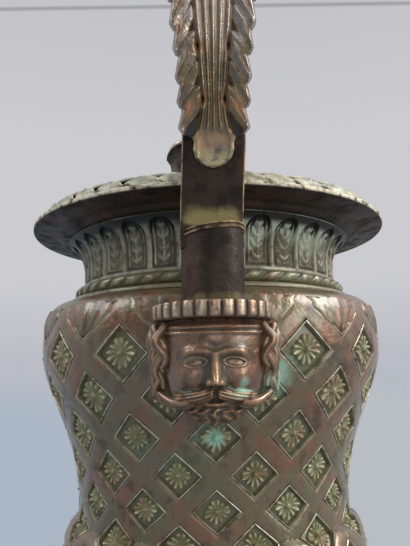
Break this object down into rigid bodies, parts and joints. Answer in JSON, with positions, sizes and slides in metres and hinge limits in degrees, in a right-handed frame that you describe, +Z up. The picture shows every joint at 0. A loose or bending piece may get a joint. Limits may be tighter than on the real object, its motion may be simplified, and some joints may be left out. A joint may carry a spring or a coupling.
{
  "type": "footed bronze vase",
  "caption": "Footed bronze vase with a latticed body, panelled neck, wide leaf-wreathed lip and high strap handles that rise from bearded masks.",
  "frame": {"origin": "centre of the foot's underside", "axes": "+Z up; the handles stand at -Y (front) and +Y (back)"},
  "size_m": [0.2012, 0.2742, 0.3798],
  "materials": {
    "lattice_patina": "brown bronze bands with grey-green patina in the recesses",
    "brown_bronze": "satin brown bronze",
    "dark_bronze": "dark brown bronze, worn along the edges",
    "pale_verdigris": "matt pale grey-green verdigris",
    "leaf_bronze": "brown bronze rubbed to gold on the ridges",
    "mask_bronze": "reddish brown bronze with turquoise verdigris in the hollows",
    "fastener_brass": "plain turned brass"
  },
  "bodies": {
    "root": {"foot": "brown_bronze", "stem_knop": "brown_bronze", "lower_cup": "lattice_patina", "body": "lattice_patina", "collar_ring": "lattice_patina", "neck": "lattice_patina", "rim_lip": "dark_bronze", "leaf_wreath": "pale_verdigris", "tie_rod": "fastener_brass", "tie_washer": "fastener_brass", "tie_nut": "fastener_brass", "handle_front": "dark_bronze", "acanthus_front": "leaf_bronze", "crown_plate_front": "leaf_bronze", "mask_front": "mask_bronze", "handle_bolt_front": "fastener_brass", "mask_screw_front": "fastener_brass", "crown_dowel_front": "fastener_brass", "rim_dowel_front": "fastener_brass", "handle_back": "dark_bronze", "acanthus_back": "leaf_bronze", "crown_plate_back": "leaf_bronze", "mask_back": "mask_bronze", "handle_bolt_back": "fastener_brass", "mask_screw_back": "fastener_brass", "crown_dowel_back": "fastener_brass", "rim_dowel_back": "fastener_brass"}
  },
  "joints": []
}
